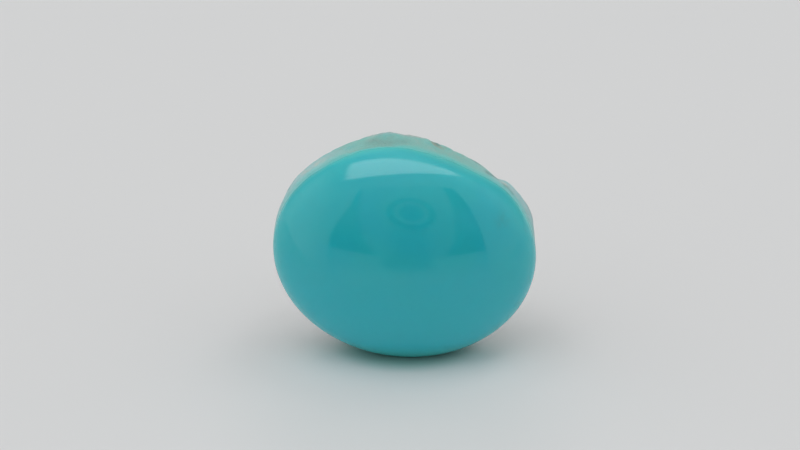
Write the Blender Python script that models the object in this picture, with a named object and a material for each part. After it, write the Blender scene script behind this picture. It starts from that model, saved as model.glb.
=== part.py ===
"""A turquoise nugget: one face ground and polished to a low oval dome, the natural rind left on its back.

One stone, standing on a small natural flat at its lower edge. Metres, +Z up. The polished face looks
towards -Y, the outline's long way runs along X, and the origin is the middle of the bounding box's
underside. A place on the stone is given by two angles in degrees: its turn round the outline, from +X
towards +Z, and its lean, from -90 in the middle of the dome, through 0 on the outline, to 90 in the
middle of the back.
"""

import math
from typing import NamedTuple

import bmesh
import bpy
import numpy as np
from mathutils import Vector, noise

# The outline, seen square to the polished face: a tilted oval, ground flatter at its upper right. The flat
# fades towards the middle of the dome, and the faster, the higher its fading is
HALF_LENGTH = 0.0132
HALF_HEIGHT = 0.0114
OUTLINE_TILT = -10
FLAT_TURN = 63
FLAT_SPREAD = 24
FLAT_DEPTH = 0.00065
FLAT_FADING = 14

# How far the stone reaches in front of and behind its outline, and how boxy each side is (2 is an ellipse)
DOME_DEPTH = 0.0062
DOME_FULLNESS = 1.9
BACK_DEPTH = 0.0078
BACK_FULLNESS = 3.3

# How far behind the outline the polish ends, the rind has its full height and the nodules have theirs
POLISH_END = 0.0003
RIND_FULL = 0.0009
NODULES_FULL = 0.0095

# The nodules all over the rind, large ones with small ones on them. The seed keeps their places the same
NODULE_SEED = 11
NODULE_SIZE = 0.0040
NODULE_HEIGHT = 0.00075
SMALL_NODULE_SIZE = 0.0017
SMALL_NODULE_HEIGHT = 0.00022
NODULE_WARP = 0.3

# How sharp the broken edges are, and the height of the axis over the flat on which the stone stands
LEDGE_SHARPNESS = 0.00022
BREAK_ROUNDING = 0.00025
FOOT_BELOW_AXIS = 0.0112
SHADED_SHARP_FROM = 40

# A round lump starts and ends at one place, so the line between them has no length to divide by
LEAST_RUN_SQUARED = 1e-12

# Squares along each edge of the cube that the surface starts from, and how far they are drawn to the back
SQUARES = 28
BACKWARD_PULL = 0.3

STONE_COLOUR = (0.045, 0.38, 0.42, 1.0)
STONE_ROUGHNESS = 0.25


class Form(NamedTuple):
    """A lump or ridge, or a hollow or groove where height is negative, from one place to another."""

    start: tuple
    end: tuple
    width: float
    height: float


class Ledge(NamedTuple):
    """A broken edge from one place to another: a step up, then a slope back down over run_out."""

    start: tuple
    end: tuple
    height: float
    run_out: float


class Break(NamedTuple):
    """A flat broken face: the way that it faces, and its distance from the stone's middle."""

    turn: float
    lean: float
    distance: float


FORMS = {
    "crest": Form((103, 34), (98, 34), 0.0019, 0.00050),
    "crest_hollow": Form((114, 10), (98, 10), 0.0011, -0.00038),
    "left_shoulder": Form((145, 20), (128, 26), 0.0024, 0.00026),
    "right_shoulder": Form((13, 22), (31, 26), 0.0019, 0.00040),
    "upper_slope": Form((61, 24), (52, 26), 0.0018, 0.00018),
    "knob": Form((33, 20), (33, 20), 0.0010, 0.00012),
    "notch": Form((38, 18), (40, 36), 0.0009, -0.00031),
    "back_hollow": Form((196, 58), (176, 70), 0.0030, -0.00120),
    "lower_hollow": Form((318, 52), (300, 62), 0.0022, -0.00090),
    "left_lump": Form((170, 40), (170, 40), 0.0026, 0.00049),
    "heel": Form((262, 36), (284, 34), 0.0028, 0.00040),
}

LEDGES = {
    "crest_end": Ledge((75.5, 20), (79.5, 44), 0.00018, 0.0022),
    "upper_break": Ledge((52, 60), (128, 60), 0.00090, 0.0030),
    "lower_break": Ledge((215, 44), (330, 70), 0.00080, 0.0028),
}

BREAKS = {
    "upper_right_face": Break(48, 52, 0.0092),
    "upper_left_face": Break(132, 56, 0.0094),
    "lower_left_face": Break(222, 50, 0.0092),
    "lower_right_face": Break(322, 46, 0.0100),
    "back_face": Break(20, 86, 0.0078),
}


def direction_of(turn, lean):
    """The unit vector from the stone's middle towards a place."""
    turn, lean = math.radians(turn), math.radians(lean)
    return np.array((math.cos(lean) * math.cos(turn), math.sin(lean), math.cos(lean) * math.sin(turn)))


def outline_radius(turn, reach):
    """The outline's distance from the stone's axis. Reach is 0 on the axis and 1 on the outline."""
    tilt = math.radians(OUTLINE_TILT)
    oval = 1 / np.hypot(np.cos(turn - tilt) / HALF_LENGTH, np.sin(turn - tilt) / HALF_HEIGHT)
    past_flat = (turn - math.radians(FLAT_TURN) + math.pi) % (2 * math.pi) - math.pi
    flat = FLAT_DEPTH * np.exp(-((past_flat / math.radians(FLAT_SPREAD)) ** 2))
    return oval - reach**FLAT_FADING * flat


def base_form(directions):
    """Points of the stone without its relief, and the way each faces, for unit vectors from its middle."""
    turn = np.arctan2(directions[:, 2], directions[:, 0])
    out = np.hypot(directions[:, 0], directions[:, 2])
    deep = directions[:, 1]
    fullness = np.where(deep < 0, DOME_FULLNESS, BACK_FULLNESS)
    depth = np.where(deep < 0, DOME_DEPTH, BACK_DEPTH)
    size = (out**fullness + np.abs(deep) ** fullness) ** (-1 / fullness)
    out, deep = out * size, deep * size
    radius = outline_radius(turn, out)
    points = np.stack([radius * out * np.cos(turn), depth * deep, radius * out * np.sin(turn)], axis=1)
    sideways = out ** (fullness - 1) / radius
    backwards = np.sign(deep) * np.abs(deep) ** (fullness - 1) / depth
    facing = np.stack([sideways * np.cos(turn), backwards, sideways * np.sin(turn)], axis=1)
    return points, facing / np.linalg.norm(facing, axis=1, keepdims=True)


def spot(turn, lean):
    """The point of the base form at this place, and the way it faces."""
    points, facing = base_form(direction_of(turn, lean)[None, :])
    return points[0], facing[0]


def nearness(points, start, end, width):
    """1 on the line between two places, falling smoothly to 0 at about twice the width from it."""
    first, last = spot(*start)[0], spot(*end)[0]
    run = last - first
    share = np.clip((points - first) @ run / max(run @ run, LEAST_RUN_SQUARED), 0, 1)
    gap = np.linalg.norm(points - first - share[:, None] * run, axis=1)
    return np.exp(-((gap / width) ** 2))[:, None]


def ledge_height(points, ledge):
    """How far a ledge lifts each point."""
    (first, facing), (last, _) = spot(*ledge.start), spot(*ledge.end)
    uphill = np.cross(facing, last - first)
    uphill /= np.linalg.norm(uphill)
    past = (points - first) @ uphill
    step = (1 + np.tanh(past / LEDGE_SHARPNESS)) / 2
    slope = np.exp(-np.maximum(past, 0) / ledge.run_out)
    return ledge.height * (step * slope)[:, None] * nearness(points, ledge.start, ledge.end, ledge.run_out)


def nodules(points, size):
    """Rounded nodules packed side by side, from 0 in the creases where they meet to 1 on their tops."""
    heights = np.empty(len(points))
    for index, point in enumerate(points):
        here = Vector(point) / size
        gaps = noise.voronoi(here + noise.noise_vector(here) * NODULE_WARP)[0]
        heights[index] = gaps[1] - gaps[0]
    crease = np.clip(heights, 0, 1)
    return crease * (2 - crease)


def rise_behind_polish(points, full):
    """0 on the polished face, rising smoothly to 1 at this depth behind the outline."""
    rise = np.clip((points[:, 1] - POLISH_END) / (full - POLISH_END), 0, 1)
    return (rise * rise * (3 - 2 * rise))[:, None]


def break_off(points, broken):
    """Flattens whatever stands proud of a broken face."""
    facing = direction_of(broken.turn, broken.lean)
    proud = (points @ facing - broken.distance) / BREAK_ROUNDING
    return points - facing * (BREAK_ROUNDING * np.logaddexp(0, proud))[:, None]


def stone_surface(directions):
    """The finished surface, for unit vectors from the stone's middle."""
    points, facing = base_form(directions)
    rough = points.copy()
    for broken in BREAKS.values():
        rough = break_off(rough, broken)
    lumps = NODULE_HEIGHT * (nodules(points, NODULE_SIZE) - 1 / 2)
    lumps += SMALL_NODULE_HEIGHT * (nodules(points, SMALL_NODULE_SIZE) - 1 / 2)
    relief = lumps[:, None] * rise_behind_polish(points, NODULES_FULL)
    for form in FORMS.values():
        relief += form.height * nearness(points, form.start, form.end, form.width)
    for ledge in LEDGES.values():
        relief += ledge_height(points, ledge)
    rough += facing * relief
    return points + rise_behind_polish(points, RIND_FULL) * (rough - points)


def round_cube(squares):
    """A cube's faces divided into even squares and blown up to a ball, so no point is a pole."""
    ball = bmesh.new()
    bmesh.ops.create_cube(ball, size=2)
    bmesh.ops.subdivide_edges(ball, edges=ball.edges[:], cuts=squares - 1, use_grid_fill=True)
    for vert in ball.verts:
        vert.co = Vector(math.tan(c * math.pi / 4) for c in vert.co).normalized()
        vert.co = (vert.co + Vector((0, BACKWARD_PULL, 0))).normalized()
    return ball


def cut_foot(stone):
    """Takes the flat on which the stone stands off its lower edge, and closes the cut."""
    everything = stone.verts[:] + stone.edges[:] + stone.faces[:]
    cut = bmesh.ops.bisect_plane(
        stone, geom=everything, plane_co=(0, 0, -FOOT_BELOW_AXIS), plane_no=(0, 0, -1), clear_outer=True
    )
    rim = [edge for edge in cut["geom_cut"] if isinstance(edge, bmesh.types.BMEdge)]
    bmesh.ops.edgeloop_fill(stone, edges=rim)
    bmesh.ops.recalc_face_normals(stone, faces=stone.faces[:])


def stand_on_origin(stone):
    """Moves the stone so that the origin is the middle of its bounding box's underside."""
    corners = np.array([vert.co for vert in stone.verts])
    low, high = corners.min(axis=0), corners.max(axis=0)
    middle = Vector(((low[0] + high[0]) / 2, (low[1] + high[1]) / 2, low[2]))
    bmesh.ops.translate(stone, verts=stone.verts[:], vec=-middle)


def turquoise():
    """The stone's own colour, the same on the polish and the rind."""
    material = bpy.data.materials.new("turquoise")
    material.use_nodes = True
    shader = material.node_tree.nodes["Principled BSDF"]
    shader.inputs["Base Color"].default_value = STONE_COLOUR
    shader.inputs["Roughness"].default_value = STONE_ROUGHNESS
    shader.inputs["Metallic"].default_value = 0
    return material


def make_nugget():
    """The whole stone, as one closed mesh."""
    noise.seed_set(NODULE_SEED)
    stone = round_cube(SQUARES)
    surface = stone_surface(np.array([vert.co for vert in stone.verts]))
    for vert, place in zip(stone.verts, surface):
        vert.co = place
    cut_foot(stone)
    stand_on_origin(stone)
    mesh = bpy.data.meshes.new("nugget")
    stone.to_mesh(mesh)
    stone.free()
    mesh.materials.append(turquoise())
    mesh.shade_smooth()
    mesh.set_sharp_from_angle(angle=math.radians(SHADED_SHARP_FROM))
    nugget = bpy.data.objects.new("nugget", mesh)
    bpy.context.scene.collection.objects.link(nugget)
    return nugget


for leftover in list(bpy.data.objects):
    bpy.data.objects.remove(leftover)
make_nugget()
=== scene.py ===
"""The looks of a turquoise nugget with one polished face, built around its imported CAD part.

The stone's form is the CAD part's own form at a finer grain, with the rind's pores, cracks and sandy
skin added. Places on the stone are given as there, by two angles in degrees: the turn round its outline,
from +X towards +Z, and the lean, from -90 in the middle of the dome to 90 in the middle of the back.
Lengths are in metres.
"""

import math
from typing import NamedTuple

import bmesh
import bpy
import numpy as np
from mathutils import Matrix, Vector, noise


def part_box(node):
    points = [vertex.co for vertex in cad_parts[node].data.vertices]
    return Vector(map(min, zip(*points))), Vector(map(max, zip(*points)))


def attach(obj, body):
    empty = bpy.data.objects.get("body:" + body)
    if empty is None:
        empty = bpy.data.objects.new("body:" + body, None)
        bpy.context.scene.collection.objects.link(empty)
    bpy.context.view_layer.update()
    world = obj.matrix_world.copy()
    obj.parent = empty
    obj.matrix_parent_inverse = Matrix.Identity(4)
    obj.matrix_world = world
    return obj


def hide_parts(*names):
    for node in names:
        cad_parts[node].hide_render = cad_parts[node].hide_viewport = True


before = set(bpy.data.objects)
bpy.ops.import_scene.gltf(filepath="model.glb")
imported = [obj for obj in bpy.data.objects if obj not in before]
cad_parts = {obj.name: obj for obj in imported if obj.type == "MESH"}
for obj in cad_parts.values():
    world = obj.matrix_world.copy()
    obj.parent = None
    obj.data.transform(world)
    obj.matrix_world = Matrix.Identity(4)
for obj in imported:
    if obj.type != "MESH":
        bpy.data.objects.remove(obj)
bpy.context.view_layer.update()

# ---- The stone's form, as in the CAD part ----

# The outline, seen square to the polished face: a tilted oval, ground flatter at its upper right. The flat
# fades towards the middle of the dome, and the faster, the higher its fading is
HALF_LENGTH = 0.0132
HALF_HEIGHT = 0.0114
OUTLINE_TILT = -10
FLAT_TURN = 63
FLAT_SPREAD = 24
FLAT_DEPTH = 0.00065
FLAT_FADING = 14

# How far the stone reaches in front of and behind its outline, and how boxy each side is (2 is an ellipse)
DOME_DEPTH = 0.0062
DOME_FULLNESS = 1.9
BACK_DEPTH = 0.0078
BACK_FULLNESS = 3.3

# How far behind the outline the polish ends, the rind has its full height and the nodules have theirs
POLISH_END = 0.0003
RIND_FULL = 0.0009
NODULES_FULL = 0.0095

# The nodules all over the rind, large ones with small ones on them. The seed keeps all noise the same
NODULE_SEED = 11
NODULE_SIZE = 0.0040
NODULE_HEIGHT = 0.00075
SMALL_NODULE_SIZE = 0.0017
SMALL_NODULE_HEIGHT = 0.00022
NODULE_WARP = 0.3

# How sharp the broken edges are, and the height of the axis over the flat on which the stone stands
LEDGE_SHARPNESS = 0.00022
BREAK_ROUNDING = 0.00025
FOOT_BELOW_AXIS = 0.0112

# A round lump starts and ends at one place, so the line between them has no length to divide by
LEAST_RUN_SQUARED = 1e-12

# How far the points of the ball that the surface starts from are drawn to the back
BACKWARD_PULL = 0.3


class Form(NamedTuple):
    """A lump or ridge, or a hollow or groove where height is negative, from one place to another."""

    start: tuple
    end: tuple
    width: float
    height: float


class Ledge(NamedTuple):
    """A broken edge from one place to another: a step up, then a slope back down over run_out."""

    start: tuple
    end: tuple
    height: float
    run_out: float


class Break(NamedTuple):
    """A flat broken face: the way that it faces, and its distance from the stone's middle."""

    turn: float
    lean: float
    distance: float


class Mark(NamedTuple):
    """A stain, a dark line or a pale spot, from one place to another."""

    start: tuple
    end: tuple
    width: float
    strength: float


FORMS = {
    "crest": Form((103, 34), (98, 34), 0.0019, 0.00050),
    "crest_hollow": Form((114, 10), (98, 10), 0.0011, -0.00038),
    "left_shoulder": Form((145, 20), (128, 26), 0.0024, 0.00026),
    "right_shoulder": Form((13, 22), (31, 26), 0.0019, 0.00040),
    "upper_slope": Form((61, 24), (52, 26), 0.0018, 0.00018),
    "knob": Form((33, 20), (33, 20), 0.0010, 0.00012),
    "notch": Form((38, 18), (40, 36), 0.0009, -0.00031),
    "back_hollow": Form((196, 58), (176, 70), 0.0030, -0.00120),
    "lower_hollow": Form((318, 52), (300, 62), 0.0022, -0.00090),
    "left_lump": Form((170, 40), (170, 40), 0.0026, 0.00049),
    "heel": Form((262, 36), (284, 34), 0.0028, 0.00040),
}

LEDGES = {
    "crest_end": Ledge((75.5, 20), (79.5, 44), 0.00018, 0.0022),
    "upper_break": Ledge((52, 60), (128, 60), 0.00090, 0.0030),
    "lower_break": Ledge((215, 44), (330, 70), 0.00080, 0.0028),
}

BREAKS = {
    "upper_right_face": Break(48, 52, 0.0092),
    "upper_left_face": Break(132, 56, 0.0094),
    "lower_left_face": Break(222, 50, 0.0092),
    "lower_right_face": Break(322, 46, 0.0100),
    "back_face": Break(20, 86, 0.0078),
}

# ---- What only the scene's stone has: finer relief, and where its colours lie ----

IRON_STAINS = {
    "step_corner": Mark((76, 24), (69, 19), 0.00060, 0.34),
    "slope_edge": Mark((53, 17), (46, 13), 0.00045, 0.38),
    "knob_corner": Mark((30, 14), (29, 16), 0.00030, 0.36),
    "behind_crest": Mark((112, 44), (84, 50), 0.0016, 0.55),
    "back_seam": Mark((196, 62), (140, 76), 0.0011, 0.80),
    "right_seam": Mark((20, 34), (356, 48), 0.0008, 0.60),
    "lower_seam": Mark((300, 52), (338, 66), 0.0010, 0.70),
}

# Dark olive lines along the steps, the notch, the knob and the crest's foot are painted shade where these
# fall in shadow; the polish blotch is the stone's own
CREASE_SHADE_AND_BLOTCH = {
    "crest_foot": Mark((106, 17), (91, 15), 0.00080, 0.50),
    "crest_streak": Mark((103, 23), (96, 22), 0.00030, 0.5),
    "step_line": Mark((75.5, 26), (72, 23), 0.00027, 1.0),
    "slope_line": Mark((52.5, 20.5), (48.5, 19), 0.00031, 1.0),
    "notch_line": Mark((45, 9), (39, 12), 0.00031, 1.0),
    "knob_line": Mark((34, 7), (30.5, 6.5), 0.00031, 1.0),
    "polish_blotch": Mark((28.3, -22.4), (26.3, -29.7), 0.00070, 0.40),
}

PALE_SPOTS = {
    "upper_left_spot": Mark((130, 9.4), (134, 9.5), 0.00045, 0.55),
    "left_spot": Mark((139, 9), (141, 12), 0.00040, 0.45),
    "knob_speck": Mark((33.8, 9.3), (33.8, 9.3), 0.00032, 1.0),
    "knob_spot": Mark((30.5, 14), (30.5, 14), 0.00032, 0.7),
}

# How far a mark's edge wavers, and the size of that wavering
MARK_WAVER = 0.0004
MARK_WAVER_SIZE = 0.0013

# Squares along each edge of the cube that the surface starts from
SQUARES = 128

# The rind's sandy grain, and how far behind the outline the fine relief starts and has its full height
GRAIN_SIZE = 0.0007
GRAIN_HEIGHT = 0.00007
FINE_START = 0.0016
FINE_FULL = 0.0080

# Pores, in patches. Reach and edge are in shares of their spacing
PORE_SPACING = 0.0015
PORE_REACH = 0.42
PORE_EDGE = 0.15
PORE_DEPTH = 0.00030
PATCH_SIZE = 0.0050
PATCH_EDGES = (-0.05, 0.35)

# Hairline cracks, along the lines where a warped noise passes 0
CRACK_SPACING = 0.0050
CRACK_WIDTH = 0.05
CRACK_DEPTH = 0.00022
CRACK_WARP = 0.15
CRACK_WARP_DETAIL = 3

# How far behind the outline the rind's colour starts, over the crest and at the sides, and is full
COLOUR_TURN_CREST = -0.0003
COLOUR_TURN_SIDES = -0.0011
COLOUR_FULL = 0.0016
COLOUR_WOBBLE = 0.0004
SIDES_FROM_AXIS = (0.004, 0.009)

# The polish is paler and greener towards the rind, partly the stone's own border colour and partly painted
# light: faintly from the start to the level, then fully from the rise on.
# The pale border is wider to the right of the axis and above it, a painted sheen, and there is another low
# on the dome, painted light thrown up from the floor
GLOW_START = -0.0030
GLOW_LEVEL = -0.0014
GLOW_RISE = -0.0010
PAINTED_SHEEN_RISE = -0.0017
GLOW_FULL = 0.0003
GLOW_SHARE = 0.17
PAINTED_SHEEN_SHARE = 0.26
UPPER_RIGHT = (0.001, 0.004)
UNDER_PAINTED_BOUNCE = 0.8
UNDER_AXIS = (0.0082, 0.0108)

# How often the surface is smoothed to find its hollows, and how far under that a full hollow lies
HOLLOW_ROUNDS = 40
HOLLOW_DEPTH = 0.00012

# ---- The stone's colours ----

POLISHED_BLUE = (0.006, 0.465, 0.535, 1.0)
POLISHED_GREEN = (0.010, 0.475, 0.520, 1.0)
# Painted light thrown up from the floor, low on the dome
POLISHED_PAINTED_BOUNCE = (0.020, 0.530, 0.610, 1.0)
BLOTCH_GREEN = (0.035, 0.33, 0.33, 1.0)
# The pale green of the polish's border, partly the stone's own colour and partly painted light
BORDER_GREEN_AND_PAINTED_LIGHT = (0.095, 0.60, 0.575, 1.0)
RIND_GREEN = (0.240, 0.515, 0.470, 1.0)
RIND_PALE = (0.36, 0.57, 0.58, 1.0)
RIND_MAUVE = (0.42, 0.46, 0.47, 1.0)
RIND_GREY = (0.38, 0.45, 0.41, 1.0)
RIND_CHALK = (0.58, 0.61, 0.54, 1.0)
RIND_BLUE = (0.08, 0.46, 0.47, 1.0)
# The olive of the painted shade along the rind's steps and creases
RIND_PAINTED_SHADE = (0.17, 0.30, 0.275, 1.0)
STAIN_TAN = (0.38, 0.30, 0.20, 1.0)
STAIN_BROWN = (0.13, 0.065, 0.035, 1.0)

# The polish: the size and the edges of its clouds, the heights between which it is paler towards the bottom
# with painted light thrown up from the floor, and its blotch.
# A pair says where a rise starts and is full. Four numbers say also what it rises from and to
POLISH_CLOUDS = 0.0060
CLOUD_EDGES = (0.35, 0.65)
PAINTED_BOUNCE_HEIGHTS = (0.0170, 0.0020)
BLOTCH_GRAIN = 0.0012
BLOTCH_EDGES = (0.3, 0.7)

# The sizes of the noises that the rind's colours and its bumps are mixed by
RIND_PATCHES = 0.0045
RIND_MOTTLE = 0.0018
RIND_SPECKLE = 0.0008
RIND_SAND = 0.00035
SAND_HEIGHT = 0.00015
SAND_STRENGTH = 0.6
PATCH_WANDER = 0.006

# The rind's border: green over the crest and pale at the sides, mottled, and mauve farther behind
BORDER_MIDDLE = 0.0005
PALE_SIDES = (0.0045, 0.0105)
GREY_MOTTLE = (0.50, 0.75)
GREY_SHARE = 0.4
BLUE_MOTTLE = (0.48, 0.30)
BLUE_SHARE = 0.3
GREEN_WIDTH = (0.012, 0.0215, 0.0005, 0.0026)
GREEN_WANDER = 0.0016
MAUVE_START = (-0.0003, 0.0008)
MAUVE_MOTTLE = (0.30, 0.62, 0.45, 0.95)

# The back's skin: where it starts, and its grey, chalky and blue patches
BACK_START = (0.0020, 0.0048)
GREY_PATCHES = (0.35, 0.60)
CHALK_PATCHES = (0.60, 0.80)
CHALK_SPECKLE = 0.35
BLUE_PATCHES = (0.56, 0.47)
BLUE_SPECKLE = 0.25

# Tan veins, along the lines where a noise passes its middle, and tan freckles
VEIN_SPACING = 0.0065
VEIN_WIDTH = (0.014, 0.002)
VEIN_MOTTLE = (0.42, 0.60)
VEIN_START = (0.0018, 0.0034)
VEIN_SHARE = 0.6
FRECKLES = (0.58, 0.72)
FRECKLE_START = (0.0024, 0.0036)
FRECKLE_SHARE = 0.35

# The painted shade along the steps and creases, and the pale spots, broken up by mottle and speckle
DARK_MOTTLE = (0.25, 0.60, 0.4, 1.0)
SPOT_SPECKLE = (0.25, 0.60)

# Iron, seeping from the hollows and the stains: tan, and brown where there is most of it
STAIN_PATCHES = 0.0032
HOLLOW_IRON = 0.20
MARKED_IRON = 0.55
TAN_SEEP = (0.64, 0.86)
BROWN_SEEP = (0.98, 1.22)
BROWN_SPECKLE = 0.3

# How rough the polish and the rind are, the dulled border between them, and how the stone lets light in
ROUGHNESS = (0.0, 0.75, 0.07, 0.62)
DULLED_BORDER = (0.25, 1.0)
DULLED_BY = 0.12
ROUGHNESS_SPECKLE = 0.3
STONE_GLOSS = 1.74
LIGHT_LET_IN = 0.5
LIGHT_SPREAD = (0.5, 1, 1)
LIGHT_DEPTH = 0.002

# ---- The camera and the floor ----

# The camera looks down by its rise in degrees. Its lens and sensor are in millimetres
CAMERA_RISE = 25
CAMERA_DISTANCE = 0.200
CAMERA_CLIP = 0.01
LENS_LENGTH = 90
SENSOR_WIDTH = 36

# Where the middle of the stone's outline lies, from the middle of the view
STONE_RIGHT_OF_MIDDLE = 0.00047
STONE_BELOW_MIDDLE = 0.00278

# The floor's zones: a painted pool of light near the stone, a painted shadow ahead of it, the plain floor
# far off, and a teal painted contact shadow right under it. Their edges are measured across the squashed
# floor, so the zones are ovals. The two boards meet in front of the stone
FLOOR_PAINTED_LIGHT = (0.78, 0.80, 0.80, 1.0)
FLOOR_SHADE = (0.65, 0.68, 0.68, 1.0)
FLOOR_FAR = (0.687, 0.71, 0.71, 1.0)
FLOOR_PAINTED_CONTACT_SHADOW = (0.42, 0.60, 0.58, 1.0)
FLOOR_SQUASH = (0.75, 1, 1)
NEAR_EDGE = (0.0060, 0.0125)
SHADE_AHEAD = 0.018
SHADE_EDGE = (0.0160, 0.0050)
UNDER_EDGE = (0.0060, 0.0030)
FLOOR_ROUGHNESS = 0.9
FLOOR_GLOSS = 1.3
FLOOR_FRONT = 0.026
FLOOR_RADIUS = 1.8

# ---- The light box ----

# What is in front is placed by how far aside or up it lies for each step ahead, the panel by how far across
# or deep it lies for each step up, and the walls by the direction's own x, y and z. A slope's step has a
# least length, so that nothing is divided by 0
LEAST_STEP = 0.001

# The backdrop that the lens sees behind the floor, and the light's colour outside the panel
BACKDROP = (0.53, 0.54, 0.54, 1.0)
WHITE = (1, 1, 1, 1)

# The ceiling and the walls: where each rises, and how bright it is. The left end of the ceiling is darker
CEILING = (0.05, 1.0, 0.51, 0.70)
LEFT_WALL = (-0.55, -0.95)
LEFT_LIGHT = 0.25
RIGHT_WALL = (0.55, 0.95)
RIGHT_LIGHT = 0.10
BACK_WALL = (0.0, 0.6)
BACK_SHADE = 0.28
WALL_TOP = (0.9, 0.5)
DIM_END = (-0.10, -0.45)
DIM_END_HEIGHT = (0.6, 0.85)
DIM_END_SHADE = 0.12

# The panel overhead: a bent oblong with slanting edges, fading to both sides
PANEL_LIGHT = 1.86
PANEL_TINT = (1.0, 0.94, 0.95, 1.0)
PANEL_TURN = 20
PANEL_BEND = 0.61
PANEL_BEND_MIDDLE = 0.2
PANEL_FRONT = (-0.52, -0.42)
PANEL_BACK = (0.30, 0.08)
PANEL_BACK_SLANT = 0.5
PANEL_LEFT = (-0.78, -0.60)
PANEL_LEFT_SLANT = 0.66
PANEL_RIGHT = (0.95, 0.76)
PANEL_FADE_RIGHT = (0.0, 0.6, 1.0, 0.82)
PANEL_FADE_LEFT = (-0.1, -0.6, 1.0, 0.93)

# The opening in front: its edges, how it spreads above and below, and how its top slopes
OPENING_LEFT = (-0.61, -0.56)
OPENING_RIGHT = (0.98, 0.93)
OPENING_TOP = (1.03, 0.94)
FLARE_START = 0.4
FLARE = 0.16
SKIRT_START = 0.5
SKIRT = 0.4
SKIRT_MOST = 0.2
TOP_SLOPE_START = 0.05
TOP_SLOPE = 0.5

# What is seen through it: a room, brighter above, a figure in its middle and darker corners beside that
OPENING_LIGHT = 0.25
OPENING_RISE = 0.20
OPENING_HEIGHTS = (-0.2, 1.0)
FIGURE_LIGHT = 0.09
FIGURE_MIDDLE = 0.07
FIGURE_HALF_WIDTH = 0.42
FIGURE_SPREAD_ABOVE = 0.22
FIGURE_SPREAD_BELOW = 0.6
FIGURE_EDGE = (0.04, -0.04)
UPPER_CORNERS = (0.3, 0.8)
UPPER_CORNER_SHADE = 0.16
LOWER_CORNERS = (0.30, -0.05)
LOWER_CORNER_SHADE = 0.05

# The lens that looks in, in degrees from its middle: a dark disc with a lighter ring, and a body under it
LENS_SHADE = 0.17
LENS_TURN = 5.7
LENS_RISE = 20.3
LENS_EDGE = (13.5, 12)
LENS_RING = (6.5, 9.0, 0.6)
LENS_RING_SHARE = 0.9
BODY_SIDES = (-0.09, 0.22, 0.06)
BODY_TOP = (0.30, 0.10)
BODY_SHARE = 0.45

# The table ahead of the stone, brighter near the stone, with the body's shade on it
TABLE = (-0.20, -0.55, 0.43, 0.53)
TABLE_EDGE = (-0.17, -0.215)
TABLE_SIDES = (-0.80, 0.98, 0.12)
TABLE_AHEAD = (0.0, -0.2)
TABLE_SHADE = 0.16
TABLE_SHADE_SIDES = (-0.18, 0.25, 0.08)
TABLE_SHADE_END = (-0.42, -0.28)


def direction_of(turn, lean):
    """The unit vector from the stone's middle towards a place."""
    turn, lean = math.radians(turn), math.radians(lean)
    return np.array((math.cos(lean) * math.cos(turn), math.sin(lean), math.cos(lean) * math.sin(turn)))


def outline_radius(turn, reach):
    """The outline's distance from the stone's axis. Reach is 0 on the axis and 1 on the outline."""
    tilt = math.radians(OUTLINE_TILT)
    oval = 1 / np.hypot(np.cos(turn - tilt) / HALF_LENGTH, np.sin(turn - tilt) / HALF_HEIGHT)
    past_flat = (turn - math.radians(FLAT_TURN) + math.pi) % (2 * math.pi) - math.pi
    flat = FLAT_DEPTH * np.exp(-((past_flat / math.radians(FLAT_SPREAD)) ** 2))
    return oval - reach**FLAT_FADING * flat


def base_form(directions):
    """Points of the stone without its relief, and the way each faces, for unit vectors from its middle."""
    turn = np.arctan2(directions[:, 2], directions[:, 0])
    out = np.hypot(directions[:, 0], directions[:, 2])
    deep = directions[:, 1]
    fullness = np.where(deep < 0, DOME_FULLNESS, BACK_FULLNESS)
    depth = np.where(deep < 0, DOME_DEPTH, BACK_DEPTH)
    size = (out**fullness + np.abs(deep) ** fullness) ** (-1 / fullness)
    out, deep = out * size, deep * size
    radius = outline_radius(turn, out)
    points = np.stack([radius * out * np.cos(turn), depth * deep, radius * out * np.sin(turn)], axis=1)
    sideways = out ** (fullness - 1) / radius
    backwards = np.sign(deep) * np.abs(deep) ** (fullness - 1) / depth
    facing = np.stack([sideways * np.cos(turn), backwards, sideways * np.sin(turn)], axis=1)
    return points, facing / np.linalg.norm(facing, axis=1, keepdims=True)


def spot(turn, lean):
    """The point of the base form at this place, and the way it faces."""
    points, facing = base_form(direction_of(turn, lean)[None, :])
    return points[0], facing[0]


def nearness(points, start, end, width):
    """1 on the line between two places, falling smoothly to 0 at about twice the width from it."""
    first, last = spot(*start)[0], spot(*end)[0]
    run = last - first
    share = np.clip((points - first) @ run / max(run @ run, LEAST_RUN_SQUARED), 0, 1)
    gap = np.linalg.norm(points - first - share[:, None] * run, axis=1)
    return np.exp(-((gap / width) ** 2))[:, None]


def ledge_height(points, ledge):
    """How far a ledge lifts each point."""
    (first, facing), (last, _) = spot(*ledge.start), spot(*ledge.end)
    uphill = np.cross(facing, last - first)
    uphill /= np.linalg.norm(uphill)
    past = (points - first) @ uphill
    step = (1 + np.tanh(past / LEDGE_SHARPNESS)) / 2
    slope = np.exp(-np.maximum(past, 0) / ledge.run_out)
    return ledge.height * (step * slope)[:, None] * nearness(points, ledge.start, ledge.end, ledge.run_out)


def at_each(points, size, measure):
    """What a noise function gives at each point. The noise's features are this size."""
    return np.array([measure(Vector(point) / size) for point in points])


def layered(here):
    """Noise of three sizes, each half as large and half as strong as the last."""
    return noise.fractal(here, 1.0, 2.0, 3)


def nodules(points, size):
    """Rounded nodules packed side by side, from 0 in the creases where they meet to 1 on their tops."""

    def crease_gap(here):
        gaps = noise.voronoi(here + noise.noise_vector(here) * NODULE_WARP)[0]
        return gaps[1] - gaps[0]

    crease = np.clip(at_each(points, size, crease_gap), 0, 1)
    return crease * (2 - crease)


def smooth_rise(values, low, high):
    """0 up to low, 1 from high on, and a smooth rise between."""
    rise = np.clip((values - low) / (high - low), 0, 1)
    return rise * rise * (3 - 2 * rise)


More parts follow.
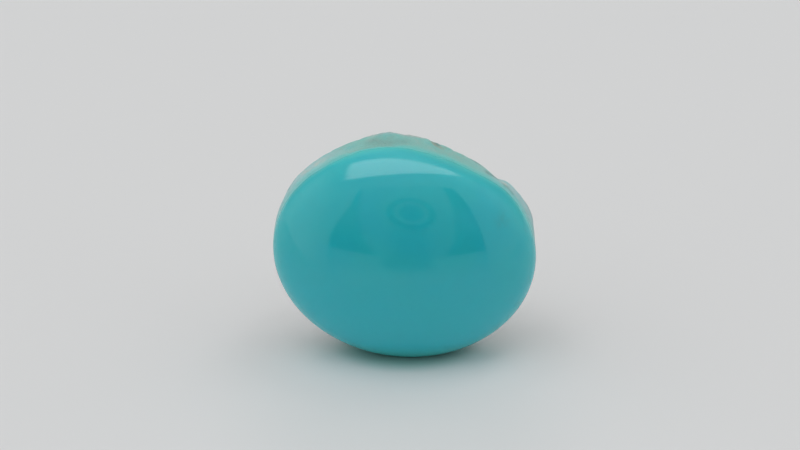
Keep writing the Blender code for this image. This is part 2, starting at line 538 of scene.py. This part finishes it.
def break_off(points, broken):
    """Flattens whatever stands proud of a broken face."""
    facing = direction_of(broken.turn, broken.lean)
    proud = (points @ facing - broken.distance) / BREAK_ROUNDING
    return points - facing * (BREAK_ROUNDING * np.logaddexp(0, proud))[:, None]


def fine_relief(points):
    """How far the sandy grain, the pores and the hairline cracks lift or sink each point."""

    def crack_gap(here):
        return noise.noise(here + noise.noise_vector(here * CRACK_WARP_DETAIL) * CRACK_WARP)

    grain = at_each(points, GRAIN_SIZE, layered)
    patches = smooth_rise(at_each(points, PATCH_SIZE, noise.noise), *PATCH_EDGES)
    to_pore = at_each(points, PORE_SPACING, lambda here: noise.voronoi(here)[0][0])
    pores = smooth_rise(PORE_REACH - to_pore, 0, PORE_EDGE) * patches
    to_crack = np.abs(at_each(points, CRACK_SPACING, crack_gap))
    cracks = 1 - smooth_rise(to_crack, 0, CRACK_WIDTH)
    return GRAIN_HEIGHT * grain - PORE_DEPTH * pores - CRACK_DEPTH * cracks


def stone_surface(directions):
    """The finished surface and the way that it faces, for unit vectors from the stone's middle."""
    points, facing = base_form(directions)
    rough = points.copy()
    for broken in BREAKS.values():
        rough = break_off(rough, broken)
    behind = points[:, 1]
    lumps = NODULE_HEIGHT * (nodules(points, NODULE_SIZE) - 1 / 2)
    lumps += SMALL_NODULE_HEIGHT * (nodules(points, SMALL_NODULE_SIZE) - 1 / 2)
    relief = lumps * smooth_rise(behind, POLISH_END, NODULES_FULL)
    relief += fine_relief(points) * smooth_rise(behind, FINE_START, FINE_FULL)
    relief = relief[:, None]
    for form in FORMS.values():
        relief += form.height * nearness(points, form.start, form.end, form.width)
    for ledge in LEDGES.values():
        relief += ledge_height(points, ledge)
    rough += facing * relief
    return points + smooth_rise(behind, POLISH_END, RIND_FULL)[:, None] * (rough - points), facing


def round_cube(squares):
    """A cube's faces divided into even squares and blown up to a ball, so no point is a pole."""
    ball = bmesh.new()
    bmesh.ops.create_cube(ball, size=2)
    bmesh.ops.subdivide_edges(ball, edges=ball.edges[:], cuts=squares - 1, use_grid_fill=True)
    for vert in ball.verts:
        vert.co = Vector(math.tan(c * math.pi / 4) for c in vert.co).normalized()
        vert.co = (vert.co + Vector((0, BACKWARD_PULL, 0))).normalized()
    return ball


def hollowness(ball, points, facing):
    """How deep each point lies under the smoothed surface: 1 in a hollow, 0 on a flat or a lump."""
    ends = np.array([(edge.verts[0].index, edge.verts[1].index) for edge in ball.edges])
    near, far = np.concatenate([ends, ends[:, ::-1]]).T
    neighbours = np.bincount(near, minlength=len(points))
    smoothed = points
    for _ in range(HOLLOW_ROUNDS):
        sums = [np.bincount(near, smoothed[far, axis], len(points)) for axis in range(3)]
        smoothed = np.stack(sums, axis=1) / neighbours[:, None]
    return np.clip(((smoothed - points) * facing).sum(axis=1) / HOLLOW_DEPTH, 0, 1)


def border_shares(points):
    """How much of the rind's colour each point has, and how pale its polish is, partly its own border
    colour and partly painted light. Both borders wander.
    """
    back = points[:, 1] + COLOUR_WOBBLE * at_each(points, NODULE_SIZE, layered)
    at_side = smooth_rise(np.abs(points[:, 0]), *SIDES_FROM_AXIS)
    turn = COLOUR_TURN_CREST + (COLOUR_TURN_SIDES - COLOUR_TURN_CREST) * at_side
    # Painted sheen: the pale border is widened to the upper right
    upper_right = smooth_rise(points[:, 0], *UPPER_RIGHT) * smooth_rise(points[:, 2], *UPPER_RIGHT)
    share = GLOW_SHARE + (PAINTED_SHEEN_SHARE - GLOW_SHARE) * upper_right
    rise = GLOW_RISE + (PAINTED_SHEEN_RISE - GLOW_RISE) * upper_right
    border_tint_and_painted_light = share * smooth_rise(back, GLOW_START, GLOW_LEVEL)
    border_tint_and_painted_light += (1 - share) * smooth_rise(back, rise, GLOW_FULL)
    # Painted light thrown up from the floor, low on the dome
    under = UNDER_PAINTED_BOUNCE * smooth_rise(-points[:, 2], *UNDER_AXIS)
    return smooth_rise(back, turn, COLOUR_FULL), np.maximum(border_tint_and_painted_light, under)


def marked(points, marks):
    """How much each point lies in any of these marks, which waver."""
    points = points + MARK_WAVER * at_each(points, MARK_WAVER_SIZE, noise.noise_vector)
    share = np.zeros(len(points))
    for mark in marks.values():
        near = mark.strength * nearness(points, mark.start, mark.end, mark.width)[:, 0]
        share = np.maximum(share, near)
    return share


def cut_foot(stone):
    """Takes the flat on which the stone stands off its lower edge, and closes the cut."""
    everything = stone.verts[:] + stone.edges[:] + stone.faces[:]
    cut = bmesh.ops.bisect_plane(
        stone, geom=everything, plane_co=(0, 0, -FOOT_BELOW_AXIS), plane_no=(0, 0, -1), clear_outer=True
    )
    rim = [edge for edge in cut["geom_cut"] if isinstance(edge, bmesh.types.BMEdge)]
    bmesh.ops.edgeloop_fill(stone, edges=rim)
    bmesh.ops.recalc_face_normals(stone, faces=stone.faces[:])


def stand_in_cad_box(stone):
    """Moves the stone from its own middle to where the CAD part stands. Returns how far it moved."""
    corners = np.array([vert.co for vert in stone.verts])
    low, high = corners.min(axis=0), corners.max(axis=0)
    cad_low, cad_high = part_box("nugget")
    move = (cad_low + cad_high) / 2 - Vector((low + high) / 2)
    move.z = cad_low.z - low[2]
    bmesh.ops.translate(stone, verts=stone.verts[:], vec=move)
    return move


def carve_stone():
    """The stone's mesh object, and the middle of its outline."""
    noise.seed_set(NODULE_SEED)
    ball = round_cube(SQUARES)
    directions = np.array([vert.co for vert in ball.verts])
    base, _ = base_form(directions)
    points, facing = stone_surface(directions)
    rind, border_tint_and_painted_light = border_shares(points)
    shares = {
        "rind": rind,
        "border_tint_and_painted_light": border_tint_and_painted_light,
        "hollow": hollowness(ball, points, facing),
        "iron": marked(base, IRON_STAINS),
        "dark": marked(base, CREASE_SHADE_AND_BLOTCH),
        "pale": marked(base, PALE_SPOTS),
    }
    for name, values in shares.items():
        layer = ball.verts.layers.float.new(name)
        for vert, value in zip(ball.verts, values):
            vert[layer] = value
    for vert, place in zip(ball.verts, points):
        vert.co = place
    cut_foot(ball)
    middle = stand_in_cad_box(ball)
    mesh = bpy.data.meshes.new("polished_nugget")
    ball.to_mesh(mesh)
    ball.free()
    mesh.shade_smooth()
    piece = bpy.data.objects.new("polished_nugget", mesh)
    bpy.context.scene.collection.objects.link(piece)
    return piece, middle


class Socket:
    """A node's output that can be written into sums: each operator adds its Math node."""

    def __init__(self, sheet, out):
        self.sheet = sheet
        self.out = out

    def __add__(self, other):
        return self.sheet.maths("ADD", self, other)

    def __radd__(self, other):
        return self.sheet.maths("ADD", other, self)

    def __sub__(self, other):
        return self.sheet.maths("SUBTRACT", self, other)

    def __rsub__(self, other):
        return self.sheet.maths("SUBTRACT", other, self)

    def __mul__(self, other):
        return self.sheet.maths("MULTIPLY", self, other)

    def __rmul__(self, other):
        return self.sheet.maths("MULTIPLY", other, self)

    def __truediv__(self, other):
        return self.sheet.maths("DIVIDE", self, other)

    def __rtruediv__(self, other):
        return self.sheet.maths("DIVIDE", other, self)

    def other(self, name):
        """Another output of the same node."""
        return Socket(self.sheet, self.out.node.outputs[name])


class Sheet:
    """A material's or a world's nodes, drawn up from nothing."""

    def __init__(self, owner):
        owner.use_nodes = True
        self.tree = owner.node_tree
        self.tree.nodes.clear()

    def add(self, kind, inputs, out=0, **settings):
        """Adds a node, with its settings first and then its inputs' values or links."""
        node = self.tree.nodes.new(kind)
        for name, value in settings.items():
            setattr(node, name, value)
        for key, value in inputs.items():
            if isinstance(value, Socket):
                self.tree.links.new(value.out, node.inputs[key])
            else:
                node.inputs[key].default_value = value
        return Socket(self, node.outputs[out]) if len(node.outputs) else None

    def maths(self, operation, first, second=0.0):
        """A Math node's result."""
        return self.add("ShaderNodeMath", {0: first, 1: second}, operation=operation)

    def size(self, value):
        """The value without its sign."""
        return self.maths("ABSOLUTE", value)

    def larger(self, first, second):
        """Whichever of the two is larger."""
        return self.maths("MAXIMUM", first, second)

    def smaller(self, first, second):
        """Whichever of the two is smaller."""
        return self.maths("MINIMUM", first, second)

    def shift(self, vector, step):
        """The vector moved by a step."""
        return self.add("ShaderNodeVectorMath", {0: vector, 1: step}, operation="ADD")

    def length(self, vector):
        """How long the vector is."""
        return self.add("ShaderNodeVectorMath", {0: vector}, out="Value", operation="LENGTH")

    def rise(self, value, low, high, start=0.0, end=1.0):
        """From start at low to end at high, smoothly."""
        limits = {"Value": value, "From Min": low, "From Max": high, "To Min": start, "To Max": end}
        return self.add("ShaderNodeMapRange", limits, interpolation_type="SMOOTHSTEP")

    def between(self, value, low, high, soft):
        """1 between low and high and 0 outside, with soft edges."""
        return self.rise(value, low - soft, low + soft) * self.rise(value, high + soft, high - soft)

    def blend(self, share, first, second):
        """The first colour where share is 0, and the second where it is 1."""
        return self.add("ShaderNodeMix", {0: share, 6: first, 7: second}, out=2, data_type="RGBA")

    def cloud(self, place, size, detail=2.0, **inputs):
        """Soft noise around 0.5 whose features are this size."""
        inputs = {"Vector": place, "Scale": 1 / size, "Detail": detail, **inputs}
        return self.add("ShaderNodeTexNoise", inputs)

    def attribute(self, name):
        """What the mesh keeps for each point under this name."""
        return self.add("ShaderNodeAttribute", {}, attribute_name=name).other("Fac")


def polish(sheet, place, up, dark):
    """The polished face's colour: clouds of two blues, with light from the floor painted paler low on the
    dome, and a dull blotch.
    """
    clouds = sheet.rise(sheet.cloud(place, POLISH_CLOUDS), *CLOUD_EDGES)
    colour = sheet.blend(clouds, POLISHED_BLUE, POLISHED_GREEN)
    # Painted light thrown up from the floor: the polish is paler low on the dome
    colour = sheet.blend(sheet.rise(up, *PAINTED_BOUNCE_HEIGHTS), colour, POLISHED_PAINTED_BOUNCE)
    blotch = dark * sheet.rise(sheet.cloud(place, BLOTCH_GRAIN, 3.0), *BLOTCH_EDGES)
    return sheet.blend(blotch, colour, BLOTCH_GREEN)


def border_skin(sheet, at, patches, mottle):
    """The rind's colour next to the polish: green over the crest, pale at the sides, mauve behind."""
    sideways = sheet.size(at.right - BORDER_MIDDLE) + (patches - 0.5) * PATCH_WANDER
    skin = sheet.blend(sheet.rise(sideways, *PALE_SIDES), RIND_GREEN, RIND_PALE)
    skin = sheet.blend(sheet.rise(mottle, *GREY_MOTTLE) * GREY_SHARE, skin, RIND_GREY)
    skin = sheet.blend(sheet.rise(mottle, *BLUE_MOTTLE) * BLUE_SHARE, skin, RIND_BLUE)
    green_width = sheet.rise(at.up, *GREEN_WIDTH) + (mottle - 0.5) * GREEN_WANDER
    mauve = sheet.rise(at.back - green_width, *MAUVE_START) * sheet.rise(mottle, *MAUVE_MOTTLE)
    return sheet.blend(mauve, skin, RIND_MAUVE)


def back_skin(sheet, skin, depth, patches, speckle):
    """The same skin carried on over the back, where it is grey, chalky and blue in patches."""
    chalk = sheet.rise(patches + speckle * CHALK_SPECKLE, *CHALK_PATCHES)
    blue = sheet.rise(patches + speckle * BLUE_SPECKLE, *BLUE_PATCHES)
    skin = sheet.blend(depth * sheet.rise(patches, *GREY_PATCHES), skin, RIND_GREY)
    skin = sheet.blend(depth * chalk, skin, RIND_CHALK)
    return sheet.blend(depth * blue, skin, RIND_BLUE)


def veined_skin(sheet, skin, place, back, mottle, speckle):
    """The skin with thin tan veins and tan freckles on its back."""
    off_vein = sheet.size(sheet.cloud(place, VEIN_SPACING, 3.0, Roughness=0.6) - 0.5)
    vein = sheet.rise(off_vein, *VEIN_WIDTH) * sheet.rise(mottle, *VEIN_MOTTLE)
    skin = sheet.blend(vein * sheet.rise(back, *VEIN_START) * VEIN_SHARE, skin, STAIN_TAN)
    freckles = sheet.rise(speckle, *FRECKLES) * sheet.rise(back, *FRECKLE_START)
    return sheet.blend(freckles * FRECKLE_SHARE, skin, STAIN_TAN)


def stained_skin(sheet, skin, place, seeping, speckle):
    """The skin with tan and brown iron stains, thickest where most iron seeps out."""
    seep = sheet.cloud(place, STAIN_PATCHES, 5.0, Roughness=0.65) + seeping
    skin = sheet.blend(sheet.rise(seep, *TAN_SEEP), skin, STAIN_TAN)
    return sheet.blend(sheet.rise(seep + speckle * BROWN_SPECKLE, *BROWN_SEEP), skin, STAIN_BROWN)


class At(NamedTuple):
    """Where on the stone a colour is mixed: how far right, behind and up from its foot."""

    right: Socket
    back: Socket
    up: Socket


def turquoise():
    """Blue-green stone, glossy where it is polished; a chalky, iron-stained rind where it isn't."""
    material = bpy.data.materials.new("turquoise")
    sheet = Sheet(material)
    place = sheet.add("ShaderNodeTexCoord", {}).other("Object")
    right = sheet.add("ShaderNodeSeparateXYZ", {0: place}, out="X")
    at = At(right, right.other("Y"), right.other("Z"))
    rind, border_tint_and_painted_light, hollow = sheet.attribute("rind"), sheet.attribute("border_tint_and_painted_light"), sheet.attribute("hollow")
    iron, dark, pale = sheet.attribute("iron"), sheet.attribute("dark"), sheet.attribute("pale")

    patches = sheet.cloud(place, RIND_PATCHES, 4.0)
    mottle = sheet.cloud(place, RIND_MOTTLE, 4.0, Roughness=0.6)
    speckle = sheet.cloud(place, RIND_SPECKLE, 3.0)
    depth = sheet.rise(at.back + (patches - 0.5) * PATCH_WANDER, *BACK_START)
    skin = border_skin(sheet, at, patches, mottle)
    skin = back_skin(sheet, skin, depth, patches, speckle)
    skin = veined_skin(sheet, skin, place, at.back, mottle, speckle)
    # Painted shade along the rind's steps and creases
    skin = sheet.blend(dark * sheet.rise(mottle, *DARK_MOTTLE), skin, RIND_PAINTED_SHADE)
    skin = sheet.blend(pale * sheet.rise(speckle, *SPOT_SPECKLE), skin, RIND_CHALK)
    skin = stained_skin(sheet, skin, place, hollow * HOLLOW_IRON * depth + iron * MARKED_IRON, speckle)

    # The polish turns pale green at its border and low on the dome, partly its own colour and partly
    # painted light and sheen
    colour = sheet.blend(border_tint_and_painted_light, polish(sheet, place, at.up, dark), BORDER_GREEN_AND_PAINTED_LIGHT)
    colour = sheet.blend(rind, colour, skin)
    roughness = sheet.rise(rind, *ROUGHNESS) + sheet.rise(border_tint_and_painted_light, *DULLED_BORDER) * DULLED_BY
    roughness = roughness + (speckle - 0.5) * ROUGHNESS_SPECKLE * rind
    sand = sheet.cloud(place, RIND_SAND, 4.0, Roughness=0.6) * rind
    bump = sheet.add("ShaderNodeBump", {"Height": sand, "Strength": SAND_STRENGTH, "Distance": SAND_HEIGHT})
    shader = sheet.add(
        "ShaderNodeBsdfPrincipled",
        {
            "Base Color": colour,
            "Roughness": roughness,
            "Normal": bump,
            "IOR": STONE_GLOSS,
            "Subsurface Weight": LIGHT_LET_IN,
            "Subsurface Radius": LIGHT_SPREAD,
            "Subsurface Scale": LIGHT_DEPTH,
        },
    )
    sheet.add("ShaderNodeOutputMaterial", {"Surface": shader})
    return material


def matte_board():
    """Plain pale matte board, with a pool of light painted round the stone and shadow painted in front of
    it and under it.
    """
    material = bpy.data.materials.new("pale_floor")
    sheet = Sheet(material)
    place = sheet.add("ShaderNodeTexCoord", {}).other("Object")
    squashed = sheet.add("ShaderNodeVectorMath", {0: place, 1: FLOOR_SQUASH}, operation="MULTIPLY")
    away = sheet.length(squashed)
    off_shade = sheet.length(sheet.shift(squashed, (0, SHADE_AHEAD, 0)))
    # Painted light round the stone, painted shadow ahead of it and a teal painted contact shadow under it
    colour = sheet.blend(sheet.rise(away, *NEAR_EDGE), FLOOR_PAINTED_LIGHT, FLOOR_FAR)
    colour = sheet.blend(sheet.rise(off_shade, *SHADE_EDGE), colour, FLOOR_SHADE)
    colour = sheet.blend(sheet.rise(away, *UNDER_EDGE), colour, FLOOR_PAINTED_CONTACT_SHADOW)
    finish = {"Base Color": colour, "Roughness": FLOOR_ROUGHNESS, "IOR": FLOOR_GLOSS}
    shader = sheet.add("ShaderNodeBsdfPrincipled", finish)
    sheet.add("ShaderNodeOutputMaterial", {"Surface": shader})
    return material


def lay_floor():
    """A pale floor in two boards that meet a little way in front of the stone.

    The stone mirrors only the near one, which lies under it and reaches far behind it.
    """
    board = matte_board()
    for name, in_front in (("near_floor", False), ("far_floor", True)):
        plate = bmesh.new()
        bmesh.ops.create_grid(plate, x_segments=1, y_segments=1, size=FLOOR_RADIUS)
        bmesh.ops.bisect_plane(
            plate,
            geom=plate.verts[:] + plate.edges[:] + plate.faces[:],
            plane_co=(0, -FLOOR_FRONT, 0),
            plane_no=(0, 1, 0),
            clear_outer=in_front,
            clear_inner=not in_front,
        )
        mesh = bpy.data.meshes.new(name)
        plate.to_mesh(mesh)
        plate.free()
        mesh.materials.append(board)
        floor = bpy.data.objects.new(name, mesh)
        bpy.context.scene.collection.objects.link(floor)
        floor.visible_glossy = not in_front


def overhead_panel(sheet, x, y, z):
    """How much of the light in each direction is the panel's."""
    up = sheet.larger(z, LEAST_STEP)
    cos, sin = math.cos(math.radians(PANEL_TURN)), math.sin(math.radians(PANEL_TURN))
    across, deep = (x * cos + y * sin) / up, (y * cos - x * sin) / up
    off_middle = across + PANEL_BEND_MIDDLE
    bent = deep - off_middle * off_middle * PANEL_BEND
    panel = sheet.rise(bent, *PANEL_FRONT) * sheet.rise(bent + across * PANEL_BACK_SLANT, *PANEL_BACK)
    panel = panel * sheet.rise(across - deep * PANEL_LEFT_SLANT, *PANEL_LEFT)
    panel = panel * sheet.rise(across, *PANEL_RIGHT)
    return panel * sheet.rise(across, *PANEL_FADE_RIGHT) * sheet.rise(across, *PANEL_FADE_LEFT)


def front_opening(sheet, sideways, upwards):
    """How much of the light in each direction comes through the opening."""
    flare = sheet.larger(upwards - FLARE_START, 0) * FLARE
    skirt = sheet.smaller(sheet.larger(SKIRT_START - upwards, 0) * SKIRT, SKIRT_MOST)
    top = upwards - sheet.larger(sideways - TOP_SLOPE_START, 0) * TOP_SLOPE
    sides = sheet.rise(sideways + skirt, *OPENING_LEFT) * sheet.rise(sideways - flare, *OPENING_RIGHT)
    return sides * sheet.rise(top, *OPENING_TOP)


def lens_and_body(sheet, x, y, z, sideways, upwards):
    """How dark the lens that looks in and the body under it make each direction."""
    turn, rise = math.radians(LENS_TURN), math.radians(LENS_RISE)
    towards = (math.sin(turn) * math.cos(rise), -math.cos(turn) * math.cos(rise), math.sin(rise))
    along = x * towards[0] + y * towards[1] + z * towards[2]
    off_lens = sheet.maths("ARCCOSINE", along) * math.degrees(1)
    lens = sheet.rise(off_lens, *LENS_EDGE) - sheet.between(off_lens, *LENS_RING) * LENS_RING_SHARE
    body = sheet.between(sideways, *BODY_SIDES) * sheet.rise(upwards, *BODY_TOP) * BODY_SHARE
    return sheet.larger(lens, body)


def room_beyond(sheet, sideways, upwards, dark):
    """The light that comes through the opening."""
    waist = FIGURE_HALF_WIDTH + sheet.larger(upwards, 0) * FIGURE_SPREAD_ABOVE
    waist = waist + sheet.smaller(upwards, 0) * FIGURE_SPREAD_BELOW
    figure = sheet.rise(sheet.size(sideways - FIGURE_MIDDLE) - waist, *FIGURE_EDGE)
    light = OPENING_LIGHT + OPENING_RISE * sheet.rise(upwards, *OPENING_HEIGHTS)
    light = light + figure * FIGURE_LIGHT - dark * LENS_SHADE
    light = light - (1 - figure) * sheet.rise(upwards, *UPPER_CORNERS) * UPPER_CORNER_SHADE
    return light - (1 - figure) * sheet.rise(upwards, *LOWER_CORNERS) * LOWER_CORNER_SHADE


def white_walls(sheet, x, y, z):
    """The light of the ceiling and the walls."""
    sides = sheet.rise(x, *LEFT_WALL) * LEFT_LIGHT + sheet.rise(x, *RIGHT_WALL) * RIGHT_LIGHT
    light = sheet.rise(z, *CEILING)
    light = light + (sides - sheet.rise(y, *BACK_WALL) * BACK_SHADE) * sheet.rise(z, *WALL_TOP)
    return light - sheet.rise(x, *DIM_END) * sheet.rise(z, *DIM_END_HEIGHT) * DIM_END_SHADE


def table_ahead(sheet, y, sideways, upwards):
    """The light of the table ahead of the stone, and how much of each direction it fills."""
    shade = sheet.between(sideways, *TABLE_SHADE_SIDES) * sheet.rise(upwards, *TABLE_SHADE_END)
    light = sheet.rise(upwards, *TABLE) - shade * TABLE_SHADE
    share = sheet.rise(upwards, *TABLE_EDGE) * sheet.between(sideways, *TABLE_SIDES)
    return light, share * sheet.rise(y, *TABLE_AHEAD)


def light_box():
    """White walls and a light panel overhead, open in front, where the lens looks in."""
    world = bpy.data.worlds.new("light_box")
    bpy.context.scene.world = world
    sheet = Sheet(world)
    x = sheet.add("ShaderNodeSeparateXYZ", {0: sheet.add("ShaderNodeTexCoord", {})}, out="X")
    y, z = x.other("Y"), x.other("Z")
    ahead = sheet.larger(0 - y, LEAST_STEP)
    sideways, upwards = x / ahead, z / ahead

    panel = overhead_panel(sheet, x, y, z)
    dark = lens_and_body(sheet, x, y, z, sideways, upwards)
    beyond = room_beyond(sheet, sideways, upwards, dark)
    table, table_share = table_ahead(sheet, y, sideways, upwards)
    light = white_walls(sheet, x, y, z)
    light = light + panel * (PANEL_LIGHT - light)
    light = light + front_opening(sheet, sideways, upwards) * (beyond - light)
    light = light + table_share * (table - light)

    tint = sheet.blend(panel, WHITE, PANEL_TINT)
    room = sheet.add("ShaderNodeBackground", {"Color": tint, "Strength": light})
    plain = sheet.add("ShaderNodeBackground", {"Color": BACKDROP, "Strength": 1})
    seen = sheet.add("ShaderNodeLightPath", {}).other("Is Camera Ray")
    both = sheet.add("ShaderNodeMixShader", {0: seen, 1: room, 2: plain})
    sheet.add("ShaderNodeOutputWorld", {"Surface": both})


def aim_camera(middle):
    """The camera, looking down at the middle of the stone's outline from in front."""
    rise = math.radians(CAMERA_RISE)
    right = Vector((1, 0, 0))
    back = Vector((0, -math.cos(rise), math.sin(rise)))
    up = back.cross(right)
    aim = middle - right * STONE_RIGHT_OF_MIDDLE + up * STONE_BELOW_MIDDLE
    data = bpy.data.cameras.new("camera")
    data.lens = LENS_LENGTH
    data.sensor_width = SENSOR_WIDTH
    data.clip_start = CAMERA_CLIP
    camera = bpy.data.objects.new("camera", data)
    camera.location = aim + back * CAMERA_DISTANCE
    camera.rotation_euler = (-back).to_track_quat("-Z", "Y").to_euler()
    bpy.context.scene.collection.objects.link(camera)
    bpy.context.scene.camera = camera


stone, outline_middle = carve_stone()
stone.data.materials.append(turquoise())
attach(stone, "root")
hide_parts("nugget")

lay_floor()
light_box()
aim_camera(outline_middle)
bpy.context.scene.view_settings.view_transform = "Standard"
bpy.context.scene.view_settings.look = "Medium High Contrast"
